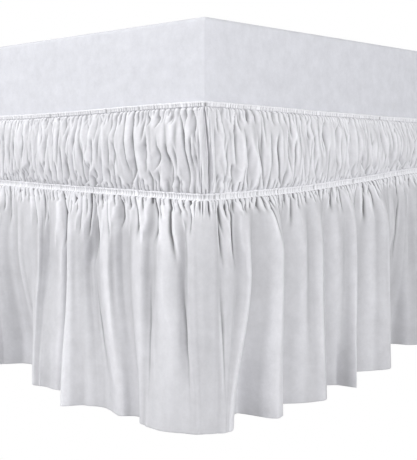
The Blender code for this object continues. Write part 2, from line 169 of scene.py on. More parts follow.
# Creases of the band near the front corner.
# Columns: distance along at the upper end, half way and at the lower end, shares
# of the band's height that it runs between, depth and half width as shares
FRONT_CREASES = (
    (-0.433, -0.43, -0.436, 0.2, 0.5, 0.7, 0.9),
    (-0.388, -0.376, -0.377, 0.1, 0.6, 0.5, 0.8),
    (-0.36, -0.359, -0.361, 0.0, 0.14, 1.0, 0.4),
    (-0.358, -0.363, -0.374, 0.6, 1.0, 1.0, 0.9),
    (-0.345, -0.35, -0.356, 0.78, 1.0, 0.9, 0.6),
    (-0.337, -0.327, -0.325, 0.03, 0.45, 0.8, 0.7),
    (-0.315, -0.305, -0.301, 0.0, 0.52, 1.0, 1.0),
    (-0.314, -0.318, -0.325, 0.62, 0.9, 0.5, 0.6),
    (-0.3, -0.304, -0.306, 0.78, 1.0, 0.9, 0.6),
    (-0.29, -0.29, -0.289, 0.0, 0.1, 0.7, 0.3),
    (-0.269, -0.26, -0.262, 0.0, 0.42, 0.9, 0.9),
    (-0.267, -0.261, -0.274, 0.5, 1.0, 1.2, 1.0),
    (-0.238, -0.244, -0.247, 0.75, 1.0, 0.6, 0.5),
    (-0.229, -0.215, -0.219, 0.0, 0.62, 0.8, 0.9),
    (-0.208, -0.215, -0.232, 0.62, 1.0, 1.1, 1.0),
    (-0.2, -0.201, -0.206, 0.72, 1.0, 1.0, 0.7),
    (-0.198, -0.184, -0.196, 0.0, 1.0, 1.1, 1.0),
    (-0.184, -0.186, -0.187, 0.0, 0.12, 0.9, 0.4),
    (-0.164, -0.156, -0.152, 0.33, 0.78, 0.7, 1.0),
    (-0.158, -0.161, -0.165, 0.78, 1.0, 1.1, 0.7),
    (-0.125, -0.128, -0.139, 0.54, 1.0, 1.1, 1.3),
    (-0.111, -0.107, -0.11, 0.36, 0.72, 1.0, 0.9),
    (-0.11, -0.106, -0.109, 0.02, 0.22, 1.1, 0.6),
    (-0.095, -0.091, -0.095, 0.02, 0.24, 1.1, 0.7),
    (-0.088, -0.087, -0.098, 0.42, 0.78, 1.0, 1.0),
    (-0.076, -0.072, -0.076, 0.0, 0.2, 0.9, 0.5),
    (-0.073, -0.069, -0.075, 0.5, 1.0, 1.3, 1.1),
    (-0.063, -0.049, -0.046, 0.0, 1.0, 1.0, 1.0),
    (-0.051, -0.05, -0.05, 0.0, 0.3, 0.9, 0.6),
    (-0.041, -0.035, -0.027, 0.0, 0.5, 1.2, 0.8),
    (-0.034, -0.03, -0.033, 0.5, 1.0, 1.3, 0.9),
    (-0.003, 0.012, 0.021, 0.0, 1.0, 1.4, 0.9),
    (0.036, 0.038, 0.039, 0.75, 1.0, 0.7, 0.7),
    (0.044, 0.045, 0.044, 0.0, 0.2, 1.0, 0.5),
    (0.047, 0.048, 0.053, 0.25, 0.75, 0.6, 0.8),
    (0.048, 0.05, 0.052, 0.78, 1.0, 1.3, 0.6),
    (0.052, 0.048, 0.044, 0.0, 0.2, 1.0, 0.5),
    (0.059, 0.062, 0.066, 0.62, 0.98, 1.1, 0.9),
    (0.071, 0.067, 0.063, 0.0, 0.35, 0.9, 0.6),
    (0.082, 0.084, 0.09, 0.28, 1.0, 1.3, 1.1),
    (0.088, 0.087, 0.086, 0.0, 0.18, 1.0, 0.5),
    (0.105, 0.106, 0.116, 0.25, 1.0, 0.6, 1.0),
    (0.137, 0.135, 0.146, 0.2, 1.0, 0.9, 1.1),
    (0.16, 0.152, 0.16, 0.1, 0.9, 0.6, 0.7),
    (0.166, 0.164, 0.169, 0.3, 0.8, 0.6, 0.7),
    (0.185, 0.188, 0.198, 0.5, 1.0, 0.6, 0.7),
    (0.202, 0.197, 0.197, 0.02, 0.38, 1.0, 0.9),
    (0.217, 0.21, 0.225, 0.2, 1.0, 0.8, 0.8),
    (0.242, 0.231, 0.232, 0.02, 0.6, 0.9, 1.1),
    (0.278, 0.26, 0.273, 0.03, 0.85, 0.9, 0.8),
    (0.31, 0.296, 0.314, 0.0, 1.0, 1.0, 1.1),
    (0.327, 0.336, 0.353, 0.6, 1.0, 0.6, 1.0),
    (0.345, 0.335, 0.336, 0.12, 0.6, 0.8, 0.7),
    (0.361, 0.358, 0.376, 0.3, 1.0, 1.0, 0.9),
    (0.409, 0.407, 0.423, 0.42, 1.0, 1.0, 1.1),
    (0.435, 0.428, 0.42, 0.02, 0.25, 0.6, 0.6),
    (0.435, 0.445, 0.464, 0.6, 1.0, 0.7, 1.0),
    (0.497, 0.486, 0.487, 0.2, 0.8, 0.8, 0.9),
)
CREASE_PITCH = (0.014, 0.032)
CREASE_LEAN = 0.006
CREASE_DEPTH = (0.35, 1.0)
CREASE_START = (-0.6, 0.5)
CREASE_RUN = (0.45, 1.2)
CREASE_WIDTH = (0.4, 0.7)
# What one share of a crease's depth and of its half width stands for, here and on the ruffle
CREASE_UNIT = (0.0135, 0.0095)
BAND_FALL = 0.098

# How far the band puffs out, by the distance from a corner of the base
BAND_PUFF = np.array(((0.0, 0.011), (0.10, 0.0145), (0.28, 0.015), (0.95, 0.015)))
BAND_SWELL = (1.08, 0.75)
BAND_ROW_EASE = 0.6
BAND_INNER_RUN = 0.03
BAND_LEAN_RUN = 0.008
# Unevenness of the band: depth, pitch along, pitch down
PUFF_WAVES = (0.0022, 0.055, 0.045)
FACETS = (0.0044, 0.013, 0.060)
STREAKS = (0.0008, 0.0065, 0.045)
FACET_MEAN = 0.45
FACET_SLANT = 0.12

# Creases of the ruffle under the elastic, near the front corner.
# Columns: as for the band's creases, but they run between falls in metres
RUFFLE_CREASES = (
    (-0.415, -0.417, -0.418, 0.0, 0.068, 0.6, 1.2),
    (-0.35, -0.355, -0.359, 0.0, 0.014, 0.6, 0.4),
    (-0.322, -0.321, -0.32, 0.0, 0.053, 1.1, 0.9),
    (-0.282, -0.28, -0.285, 0.0, 0.092, 1.1, 0.9),
    (-0.242, -0.249, -0.257, 0.0, 0.022, 0.6, 0.6),
    (-0.211, -0.196, -0.205, 0.0, 0.106, 1.5, 1.3),
    (-0.196, -0.194, -0.188, 0.08, 0.285, 0.3, 1.2),
    (-0.184, -0.183, -0.183, 0.0, 0.014, 0.5, 0.5),
    (-0.156, -0.15, -0.156, 0.0, 0.049, 1.2, 1.1),
    (-0.127, -0.124, -0.125, 0.0, 0.056, 0.9, 0.8),
    (-0.099, -0.095, -0.101, 0.0, 0.06, 1.3, 1.1),
    (-0.102, -0.103, -0.107, 0.06, 0.29, 0.28, 1.2),
    (-0.075, -0.078, -0.07, 0.0, 0.095, 0.42, 0.9),
    (-0.063, -0.063, -0.062, 0.0, 0.018, 0.8, 0.5),
    (-0.07, -0.063, -0.055, 0.06, 0.285, 0.34, 1.1),
    (-0.042, -0.048, -0.047, 0.0, 0.043, 1.2, 0.9),
    (-0.023, -0.021, -0.019, 0.0, 0.013, 0.8, 0.5),
    (0.04, 0.039, 0.045, 0.0, 0.095, 0.42, 0.9),
    (0.036, 0.046, 0.066, 0.06, 0.29, 0.27, 0.95),
    (0.053, 0.051, 0.05, 0.0, 0.025, 0.8, 0.5),
    (0.063, 0.059, 0.067, 0.0, 0.1, 0.55, 1.0),
    (0.076, 0.078, 0.081, 0.0, 0.018, 0.7, 0.5),
    (0.11, 0.111, 0.112, 0.0, 0.014, 0.36, 0.4),
    (0.124, 0.118, 0.113, 0.0, 0.022, 0.48, 0.5),
    (0.149, 0.15, 0.151, 0.0, 0.014, 0.36, 0.5),
    (0.165, 0.165, 0.165, 0.0, 0.008, 0.42, 0.4),
    (0.175, 0.173, 0.172, 0.0, 0.024, 0.42, 0.6),
    (0.189, 0.188, 0.187, 0.0, 0.01, 0.54, 0.4),
    (0.203, 0.201, 0.199, 0.0, 0.01, 0.54, 0.4),
    (0.217, 0.215, 0.213, 0.0, 0.007, 0.36, 0.35),
    (0.259, 0.258, 0.258, 0.0, 0.008, 0.36, 0.4),
    (0.27, 0.268, 0.266, 0.0, 0.027, 0.48, 0.7),
    (0.303, 0.305, 0.304, 0.0, 0.028, 0.36, 0.8),
    (0.354, 0.348, 0.342, 0.0, 0.022, 0.48, 0.7),
    (0.397, 0.399, 0.401, 0.0, 0.008, 0.54, 0.4),
    (0.429, 0.43, 0.431, 0.0, 0.018, 0.42, 0.6),
    (0.44, 0.434, 0.43, 0.012, 0.16, 0.8, 1.7),
    (0.479, 0.475, 0.472, 0.0, 0.02, 0.6, 0.6),
)

# Share of the drop over which the ruffle opens from its gathers, and how soon it does
RUFFLE_OPEN = 0.30
RUFFLE_OPEN_EASE = 2.2
# Unevenness of the ruffle: depth, pitch along, pitch down
RUFFLE_WAVES = (0.0009, 0.035, 0.06)
LONG_FOLDS = (0.0021, 0.011, 0.16)
LONG_FOLDS_AT_HEM = 0.7
LOOSENING = 5
RUFFLE_LEAN_RUN = 0.01

# Gathers along an edge that is held by an elastic.
# Columns: pitch along, least and greatest length, depth, half width
MAIN_GATHERS = (0.0290, 0.030, 0.120, 0.0110, 0.0090)
MIDDLE_GATHERS = (0.0140, 0.018, 0.070, 0.0100, 0.0066)
FINE_GATHERS = (0.0060, 0.005, 0.024, 0.0095, 0.0034)
BAND_FOLDS = (0.0165, 0.050, 0.098, 0.0095, 0.0066)
GATHER_LEAN = 0.11
GATHER_LEAN_PITCH = 0.045
SOFTER_FROM = 0.10
SOFTER_SHARE = 0.62
GATHER_STEP = 0.001
GATHER_STAND_OFF = 0.003
# Least and greatest share of a gather's pitch, depth and half width, of its lean and
# bow to either side, and of the room that it is moved down
PITCH_SPREAD = (0.55, 1.45)
DEPTH_SPREAD = (0.45, 1.2)
REACH_SPREAD = (0.7, 1.3)
LEAN_SPREAD = (-0.3, 0.3)
BOW_SPREAD = (-0.2, 0.2)
SCATTER_SPREAD = (0.1, 0.95)

# The form of a crease
STEEP_SIDE = 0.50
GENTLE_SIDE = 1.40
VALLEY_SHARPNESS = 1.1
VALLEY_ROUND = 0.004
SLIT_WIDTH = 0.0021
SLIT_OF_REACH = 0.6
SLIT_SHARE = 0.38
DEEPENS_OVER = 0.45
RUNS_OUT_OVER = 0.60
EDGE_WIDTH = 0.50
EDGE_RUN = 0.018
WAVER = 0.08
WAVER_PITCH = 0.022
WAVER_SHIFT = 0.37
WAVER_RUN = 0.012
ROW_MARGIN = 0.0001
RUFFLE_TIP = 1.9
BAND_TIP = 0.45
# How far cloth leans to one side in a crease, as a share of its depth, and the pitch of that
LEAN_WANDER = (0.3, 0.05)

# Stand-off of the cloth where it is gathered, and how far its edges are tucked in
GATHERED_CREST = 0.0062
RUFFLE_CREST = 0.0088
GATHERED_VALLEY = 0.0014
TUCK = 0.0016

# Painted shade, darker down in a crease and in a fold: how far round a point the level of the cloth is
# taken, and how far below it counts as one
CREASE_HOLLOW = (0.0045, 0.0030)
FOLD_HOLLOW = (0.016, 0.012)
# Limits of the painted shade in folds, below zero a painted highlight on their crests, and how much it
# counts at the elastic and at the hem
FOLD_SHADE = (-0.42, 0.20)
FOLD_WEIGHTS = (0.62, 0.70)
# Painted shade of the ruffle's creases: how much more it counts right under the elastic, and the fall
# over which that eases off
TOP_CREASE_WEIGHT = 1.6
TOP_CREASE_RUN = 0.12
# Painted shade over the upper ruffle, and the share of the drop from which it and the painted shade in
# valleys fade out down to the hem
UPPER_SHADE = 0.05
LOW_FROM = 0.3
# How much the painted shade of folds counts on the band, and painted light that lightens the whole band
BAND_FOLD_WEIGHT = 0.3
BAND_PAINTED_LIGHT = 0.09

# The turn round a corner
CREASE_STAND_OFF = 0.010
CORNER_SLACK = 0.004
CORNER_BLEND = 0.006

# Fineness of the cloth: closer round the front corner
CLOSE_FROM = -0.50
CLOSE_TO = 0.54
CLOSE_COLUMN = 0.00095
OPEN_COLUMN = 0.0030
RUFFLE_ROWS = 56
RUFFLE_ROW_EASE = 1.6
BAND_ROWS = 48
HEM_EDGE = 0.996
HEM_TURN = 0.014
HEM_ROWS = 4
HEM_THICKNESS = 0.0012
FULLNESS = 1.3

# Seeded noise: how many values repeat, and how far from their start it is read
NOISE_VALUES = 4096
NOISE_START = 1000.0
OCTAVE_SEED_STEP = 97
NOISE_MEAN_PEAK = 1.5
GRID_VALUES = 512
GRID_START = 300.0

# The walls, each from the corner where it starts
CORNERS = np.array(((1, -1), (1, 1), (-1, 1), (-1, -1))) * np.array((BASE_WIDTH, BASE_LENGTH)) / 2
OUTWARDS = np.array(((1, 0), (0, 1), (-1, 0), (0, -1)))
DIRECTIONS = np.roll(OUTWARDS, -1, axis=0)
LENGTHS = np.array((BASE_LENGTH, BASE_WIDTH) * 2)
WALL_STARTS = np.cumsum((0.0, *LENGTHS))


# ---- shape helpers
def smooth(share):
    """Ease shares from 0 to 1."""
    share = np.clip(share, 0.0, 1.0)
    return share * share * (3 - 2 * share)


def blend(first, second, share):
    """The value a share of the way from the first to the second."""
    return first + (second - first) * share


def cells(marks, places):
    """Index of the mark before each place, and the share of the way on to the next mark."""
    index = np.clip(np.searchsorted(marks, places, side="right") - 1, 0, len(marks) - 2)
    return index, (places - marks[index]) / (marks[index + 1] - marks[index])


def through(rows, column, places):
    """Read a column of a table at places, on a smooth curve through its rows."""
    marks = rows[:, 0]
    values = rows[:, column]
    index, share = cells(marks, places)
    before = np.maximum(index - 1, 0)
    after = np.minimum(index + 2, len(rows) - 1)
    run = marks[index + 1] - marks[index]
    slope_in = (values[index + 1] - values[before]) / (marks[index + 1] - marks[before])
    slope_out = (values[after] - values[index]) / (marks[after] - marks[index])
    t = np.clip(share, 0.0, 1.0)
    return (
        (2 * t ** 3 - 3 * t ** 2 + 1) * values[index]
        + (t ** 3 - 2 * t ** 2 + t) * run * slope_in
        + (3 * t ** 2 - 2 * t ** 3) * values[index + 1]
        + (t ** 3 - t ** 2) * run * slope_out
    )


def wall_of(along):
    """Index of the wall that each distance falls on, and the run from its start."""
    run = np.mod(along, PERIMETER)
    index = cells(WALL_STARTS, run)[0]
    return index, run - WALL_STARTS[index]


def corner_distance(along):
    """How far places are from the nearest corner of the base."""
    index, run = wall_of(along)
    return np.minimum(run, LENGTHS[index] - run)


def cloth_points(along, out, height):
    """Points of cloth, columns by rows, that stands off the walls by out."""
    along, out = np.broadcast_arrays(along, out)
    index, run = wall_of(along)
    length = LENGTHS[index]
    from_start = run <= length - run
    near = np.minimum(run, length - run)
    spare = (CORNER_RUN - BASE_EDGE_RADIUS) * (1 - smooth((near - CORNER_RUN) / CORNER_FADE))
    straight = np.where(from_start, near - spare, length - near + spare)
    on_wall = CORNERS[index] + DIRECTIONS[index] * straight[..., None]
    on_wall = on_wall + OUTWARDS[index] * out[..., None]
    other = np.where(from_start, index - 1, index + 1) % 4
    corner = CORNERS[np.where(from_start, index, other)]
    turn = (1 - np.minimum(near / CORNER_RUN, 1.0)) * math.pi / 4
    outward = OUTWARDS[index] * np.cos(turn)[..., None] + OUTWARDS[other] * np.sin(turn)[..., None]
    centre = corner - np.sign(corner) * BASE_EDGE_RADIUS
    on_corner = centre + outward * (BASE_EDGE_RADIUS + out)[..., None]
    plan = np.where((near < CORNER_RUN)[..., None], on_corner, on_wall)
    return np.concatenate((plan, height[..., None]), axis=-1)


def elastic_height(along, column):
    """Height of an elastic at distances along the walls."""
    return through(ELASTIC_HEIGHTS, column, np.mod(along + BASE_WIDTH, PERIMETER) - BASE_WIDTH)


def wander(place, pitch, seed, octaves=2):
    """Smooth seeded noise along one axis, from about -1 to 1, with features of the given pitch."""
    total = np.zeros_like(place)
    weight = 1.0
    for octave in range(octaves):
        values = np.random.default_rng(seed + OCTAVE_SEED_STEP * octave).uniform(-1, 1, NOISE_VALUES)
        where = place / pitch * 2 ** octave + NOISE_START
        cell = np.floor(where).astype(int)
        first = values[cell % NOISE_VALUES]
        second = values[(cell + 1) % NOISE_VALUES]
        total += weight * blend(first, second, smooth(where - cell))
        weight *= 0.5
    return total / NOISE_MEAN_PEAK


def wandering(place, kind, seed):
    """Noise along one axis, of a kind's reach and pitch."""
    reach, pitch = kind
    return reach * wander(place, pitch, seed)


def cloth_noise(first, second, waves, seed):
    """Smooth seeded noise over two axes, from about -1 to 1 of its depth.

    Waves: depth, pitch along the first axis, pitch along the second.
    """
    depth, pitch_first, pitch_second = waves
    values = np.random.default_rng(seed).uniform(-1, 1, (GRID_VALUES, GRID_VALUES))
    x = first / pitch_first + GRID_START
    y = second / pitch_second + GRID_START
    column = np.floor(x).astype(int)
    row = np.floor(y).astype(int)
    share_x = smooth(x - column)
    lines = []
    for at in (row % GRID_VALUES, (row + 1) % GRID_VALUES):
        near = values[column % GRID_VALUES, at]
        far = values[(column + 1) % GRID_VALUES, at]
        lines.append(blend(near, far, share_x))
    return depth * blend(*lines, smooth(y - row))


def pleats(phase):
    """Rounded ridges with narrow valleys, about 0 on average, one to each turn of phase."""
    return np.abs(np.cos(phase / 2)) ** RIB_ROUNDNESS - RIB_MEAN


def columns_between(start, end):
    """Distances along for the columns of a sheet between two places."""
    marks = [start, *(place for place in (CLOSE_FROM, CLOSE_TO) if start < place < end), end]
    places = []
    for first, last in zip(marks[:-1], marks[1:]):
        near = CLOSE_FROM < (first + last) / 2 < CLOSE_TO
        count = math.ceil((last - first) / (CLOSE_COLUMN if near else OPEN_COLUMN))
        places.append(np.linspace(first, last, count, endpoint=False))
    return np.concatenate(places + [[end]])


def gathers(start, end, kind, seed):
    """Creases of one kind that run down from a gathered edge between two places.

    They lie shallower along the side than round the corner and across the ends.
    """
    pitch, least, greatest, depth, reach = kind
    rng = np.random.default_rng(seed)
    marks = np.arange(start, end, GATHER_STEP)
    lengths = np.cumsum(GATHER_STEP * snugness(marks, GATHER_STAND_OFF))
    steps = np.cumsum(pitch * rng.uniform(*PITCH_SPREAD, int((end - start) / pitch)))
    places = np.interp(steps[steps < lengths[-1]], lengths, marks)
    count = len(places)
    lengths = blend(least, greatest, rng.uniform(0, 1, count) ** 2)
    leans = GATHER_LEAN * (wander(places, GATHER_LEAN_PITCH, seed) + rng.uniform(*LEAN_SPREAD, count))
    depths = depth * rng.uniform(*DEPTH_SPREAD, count)
    reaches = reach * rng.uniform(*REACH_SPREAD, count)
    depths[(places > SOFTER_FROM) & (places < LENGTHS[0])] *= SOFTER_SHARE
    ends = places + leans * lengths
    middles = (places + ends) / 2 + reaches * rng.uniform(*BOW_SPREAD, count)
    return np.stack((places, middles, ends, 0 * places, lengths, depths, reaches), axis=-1)


def edge_gathers(start, end, seed):
    """The middling and the fine gathers of one edge."""
    return np.concatenate((
        gathers(start, end, MIDDLE_GATHERS, seed),
        gathers(start, end, FINE_GATHERS, seed + 1),
    ))


def turned_up(creases, height):
    """Creases that run down from an upper edge, turned to run up from a lower one."""
    flipped = creases[:, [2, 1, 0, 4, 3, 5, 6]]
    flipped[:, 3:5] = height - flipped[:, 3:5]
    return flipped


def scattered(creases, height, seed):
    """Creases that run down from an upper edge, moved down at random above a lower one."""
    moved = creases.copy()
    spare = np.maximum(height - moved[:, 4], 0.0)
    shares = np.random.default_rng(seed).uniform(*SCATTER_SPREAD, len(moved))
    moved[:, 3:5] += (spare * shares)[:, None]
    return moved


def steep_side(along):
    """1 where a crease is steeper on the side further along, -1 where on the other.

    It is the side of the nearest corner, and the further side on the corner itself.
    """
    index, run = wall_of(along)
    return 1.0 if run > LENGTHS[index] / 2 or run < CORNER_RUN else -1.0


def carved(tops, falls, creases, lower_edge, tip, seed):
    """How deep creases lie in a sheet, columns by rows.

    Each crease: distance along at its upper end, half way and at its lower end,
    falls of those ends, depth, half width. A crease that ends on a gathered edge
    stays deep there; where one runs out, its width comes to the tip's share.
    """
    depths = np.zeros((len(tops), len(falls)))
    for number, (upper, middle, lower, start, end, depth, reach) in enumerate(creases):
        rows = slice(*np.searchsorted(falls, (start - ROW_MARGIN, end + ROW_MARGIN)))
        fall = falls[rows]
        if not len(fall):
            continue
        share = (fall - start) / (end - start)
        strength = np.ones_like(share)
        if start > 0:
            strength *= smooth(share / DEEPENS_OVER)
        if end < lower_edge:
            strength *= smooth((1 - share) / RUNS_OUT_OVER)
        from_edge = np.minimum(fall, lower_edge - fall)
        spread = 1 / snugness(middle, CREASE_STAND_OFF)
        pinched = blend(EDGE_WIDTH, 1.0, smooth(from_edge / EDGE_RUN))
        width = spread * reach * blend(tip, 1.0, strength) * pinched
        bow = 4 * share * (1 - share)
        waver = wander(fall + WAVER_SHIFT * number, WAVER_PITCH, seed)
        bend = WAVER * reach * waver * smooth(from_edge / WAVER_RUN)
        path = blend(upper, lower, share) + bow * (middle - (upper + lower) / 2) + bend
        most = GENTLE_SIDE * spread * reach
        columns = slice(*np.searchsorted(tops, (path.min() - most, path.max() + most)))
        offset = tops[columns, None] - path
        skew = np.where(offset * steep_side(middle) > 0, STEEP_SIDE, GENTLE_SIDE)
        valley = 1 - np.sqrt((offset / width / skew) ** 2 + VALLEY_ROUND)
        valley = np.maximum(valley, 0.0) ** VALLEY_SHARPNESS
        slit_width = spread * np.minimum(SLIT_WIDTH, SLIT_OF_REACH * reach)
        slit = np.maximum(1 - np.abs(offset) / slit_width, 0.0)
        cut = depth * strength * blend(valley, slit, SLIT_SHARE * strength)
        depths[columns, rows] = np.hypot(depths[columns, rows], cut)
    return depths


def sunk(crest, depths):
    """Stand-off of cloth whose crests and depths under them are given."""
    room = crest - GATHERED_VALLEY
    return crest - room * np.tanh(depths / room)


def hollows(tops, out, reach, depth):
    """How far a sheet lies below the cloth beside it, as shares of a depth, columns by rows."""
    sums = np.concatenate((np.zeros_like(out[:1]), (out[1:] + out[:-1]) / 2 * np.diff(tops)[:, None]))
    sums = np.cumsum(sums, axis=0)
    low = np.clip(tops - reach, tops[0], tops[-1])
    high = np.clip(tops + reach, tops[0], tops[-1])
    ends = []
    for edge in (low, high):
        index, share = cells(tops, edge)
        ends.append(blend(sums[index], sums[index + 1], share[:, None]))
    around = (ends[1] - ends[0]) / (high - low)[:, None]
    return np.clip((around - out) / depth, -1.0, 1.0)


def snugness(along, out):
    """How much of the cloth's run along is left where it turns a corner at a stand-off."""
    near = corner_distance(along)
    turning = np.minimum(1.0, (BASE_EDGE_RADIUS + out + CORNER_SLACK) * math.pi / 4 / CORNER_RUN)
    return blend(turning, 1.0, smooth((near - CORNER_RUN + CORNER_BLEND) / (2 * CORNER_BLEND)))


# ---- mesh helpers
def in_scene(name, data):
    """A new object, put in the scene."""
    piece = bpy.data.objects.new(name, data)
    bpy.context.scene.collection.objects.link(piece)
    return piece


def cloth_object(name, points, closed, across, down, painted_shade):
    """A sheet from an array of points, columns by rows, with its cloth measures as UV and its painted
    shade as a point attribute.

    Across is one for each column, down one for each point. A closed sheet joins
    its last column and row to its first ones.
    """
    columns, rows = points.shape[:2]
    corners = np.arange(columns * rows).reshape(columns, rows)
    if closed:
        after = np.roll(corners, -1, axis=0)
        sides = (corners, after, np.roll(after, -1, axis=1), np.roll(corners, -1, axis=1))
    else:
        sides = (corners[:-1, :-1], corners[:-1, 1:], corners[1:, 1:], corners[1:, :-1])
    faces = np.stack(sides, axis=-1).reshape(-1, 4)
    mesh = bpy.data.meshes.new(name)
    mesh.from_pydata(points.reshape(-1, 3).tolist(), [], faces.tolist())
    layer = mesh.uv_layers.new(name="cloth")
    measures = np.stack(np.broadcast_arrays(across[:, None], down), axis=-1).reshape(-1, 2)
    layer.data.foreach_set("uv", measures[faces.reshape(-1)].ravel())
    # Painted shade: how much darker each point's colour is made, and below zero a painted highlight
    mesh.attributes.new("painted_shade", "FLOAT", "POINT").data.foreach_set("value", painted_shade.reshape(-1))
    mesh.shade_smooth()
    return in_scene(name, mesh)


# ---- the ruffle
def wall_reach(wall):
    """How far the widest fold of a wall's ruffle stands off."""
    return SIDE_REACH if wall % 2 == 0 else END_REACH


def hidden_folds(start, end, rng):
    """Worked-out folds of the ruffle between two distances along the walls."""
    folds = []
    place = start
    crest = False
    while place < end:
        reach = wall_reach(wall_of(place)[0])
        middle = place + rng.uniform(-FOLD_DRIFT, FOLD_DRIFT) / 2
        hem = middle + rng.uniform(-FOLD_DRIFT, FOLD_DRIFT) / 2
        if crest:
            out_middle = rng.uniform(*FOLD_CREST_MIDDLE)
            out_hem = reach * rng.uniform(*FOLD_CREST_SHARE)
        else:
            out_middle = FOLD_VALLEY_MIDDLE
            out_hem = rng.uniform(*FOLD_VALLEY_HEM)
        folds.append((place, middle, hem, out_middle, out_hem))
        step = rng.uniform(*FOLD_HALF_PITCH)
        if not crest and rng.random() < LESSER_RIDGE_CHANCE:
            ridge = place + step / 2
            lesser = out_hem + (reach - out_hem) * LESSER_RIDGE_REACH / 2
            folds.append((ridge, ridge, ridge, 2 * FOLD_VALLEY_MIDDLE, lesser))
            valley = ridge + step / 2
            folds.append((valley, valley, valley, FOLD_VALLEY_MIDDLE, out_hem))
            place = valley + step / 2
        else:
            place += step
        crest = not crest
    return folds


def widen_crest(folds, wall):
    """Let the widest of a wall's folds stand off by the wall's whole reach."""
    on_wall = [index for index, fold in enumerate(folds) if wall_of(fold[0])[0] == wall]
    widest = max(on_wall, key=lambda index: folds[index][-1])
    folds[widest] = (*folds[widest][:-1], wall_reach(wall))


def seam_fold(along):
    """The line of the ruffle at the end of a length of cloth."""
    return (along, along, along, FOLD_CREST_MIDDLE[0] / 2, FOLD_CREST_MIDDLE[0] / 2)


def between_lines(places, outs, index, share):
    """Stand-off a share of the way from each indexed line to the next, level on crests and in valleys."""
    runs = np.diff(places, axis=0)
    slopes = np.diff(outs, axis=0) / runs
    product = slopes[:-1] * slopes[1:]
    total = np.where(product > 0, slopes[:-1] + slopes[1:], 1.0)
    level = np.pad(np.where(product > 0, 2 * product / total, 0.0), ((1, 1), (0, 0)))
    rise = (share - share ** 2) * runs[index]
    return (
        blend(outs[index], outs[index + 1], smooth(share))
        + rise * (1 - share) * level[index]
        - rise * share * level[index + 1]
    )


def ruffle_points(folds, tops, drops):
    """Distance along, stand-off and height of the ruffle's points, columns by rows."""
    folds = np.array(folds)
    opened = 1 - (1 - np.minimum(drops / RUFFLE_OPEN, 1.0)) ** RUFFLE_OPEN_EASE
    lowered = smooth((drops - RUFFLE_OPEN) / (1 - RUFFLE_OPEN))
    line_along = blend(blend(folds[:, 0:1], folds[:, 1:2], opened), folds[:, 2:3], lowered)
    line_out = blend(blend(RUFFLE_CREST, folds[:, 3:4], opened), folds[:, 4:5], lowered)
    index, share = cells(folds[:, 0], tops)
    share = share[:, None]
    along = blend(line_along[index], line_along[index + 1], share)
    out = between_lines(line_along, line_out, index, share)
    top = elastic_height(tops, 2) - LOWER_ELASTIC_HEIGHT / 2
    hem = HEM_CLEARANCE + HEM_FOLLOWS_ELASTIC * (elastic_height(tops, 2) - CORNER_ELASTIC_HEIGHT)
    height = blend(top[:, None], hem[:, None], drops[None, :])
    return along, out, height


def uneven_ruffle(tops, drops, along, out, height, seed):
    """Stand-off of the ruffle with its waves and long soft folds, clear of the base."""
    loosened = smooth(drops * LOOSENING)
    out = out + cloth_noise(along, height, RUFFLE_WAVES, seed) * loosened
    lengths = np.cumsum(np.gradient(tops) * snugness(tops, CREASE_STAND_OFF))[:, None]
    room = snugness(along, out) * blend(1.0, LONG_FOLDS_AT_HEM, smooth(drops))
    out += room * cloth_noise(lengths, height, LONG_FOLDS, seed + 1) * loosened
    near_base = height > BASE_UNDERSIDE - CLEAR_BELOW_BASE
    return np.where(near_base, np.maximum(out, GATHERED_VALLEY), out)


def ruffle_painted_shade(tops, drops, fallen, folded, out):
    """Painted shade of the ruffle: how much darker its colour is made down in its creases and folds and
    over its upper part, and how much lighter on its fold crests.
    """
    weight = blend(TOP_CREASE_WEIGHT, 1.0, smooth(fallen / TOP_CREASE_RUN))
    upper = 1.0 - smooth((drops - LOW_FROM) / (1.0 - LOW_FROM))
    shade = np.clip(hollows(tops, out, *FOLD_HOLLOW), FOLD_SHADE[0], FOLD_SHADE[1] * upper)
    painted_shade = weight * hollows(tops, out - folded, *CREASE_HOLLOW)
    return painted_shade + (blend(*FOLD_WEIGHTS, smooth(drops)) * shade + UPPER_SHADE * upper)


def turned_hem(hem):
    """Points of the cloth turned up behind a hem, and how far they lie above it."""
    outward = np.cross(np.gradient(hem, axis=0), (0.0, 0.0, 1.0))
    outward /= np.linalg.norm(outward, axis=1)[:, None]
    rises = np.linspace(0.0, HEM_TURN, HEM_ROWS)
    return (hem - outward * HEM_THICKNESS)[:, None] + rises[:, None] * (0.0, 0.0, 1.0), rises


def make_ruffle(name, folds, creases, seed):
    """One length of the ruffle, gathered under the elastic, its hem turned up behind."""
    start = folds[0][0]
    end = folds[-1][0]
    tops = columns_between(start, end)
    drops = np.insert(np.linspace(0.0, 1.0, RUFFLE_ROWS - 1) ** RUFFLE_ROW_EASE, -1, HEM_EDGE)
    along, folded, height = ruffle_points(folds, tops, drops)
    fallen = height[:, :1] - height
    creases = np.concatenate((creases, edge_gathers(start, end, seed + 1)))
    depths = carved(tops, fallen.mean(axis=0), creases, math.inf, RUFFLE_TIP, seed)
    depths *= snugness(along, folded)
    lean = wandering(tops, LEAN_WANDER, seed + 3)[:, None] * smooth(fallen / RUFFLE_LEAN_RUN)
    along = along - lean * depths
    out = uneven_ruffle(tops, drops, along, sunk(folded, depths), height, seed + 50)
    # Painted shade of the ruffle; none on its turned-up hem
    painted_shade = np.pad(ruffle_painted_shade(tops, drops, fallen, folded, out), ((0, 0), (0, HEM_ROWS)))
    out[:, 0] = GATHERED_VALLEY
    height[:, 0] += TUCK
    points = cloth_points(along, out, height)
    behind, rises = turned_hem(points[:, -1])
    points = np.concatenate((points, behind), axis=1)
    down = np.concatenate((fallen, fallen[:, -1:] + HEM_THICKNESS + rises), axis=1)
    return cloth_object(name, points, False, tops * FULLNESS, down, painted_shade)


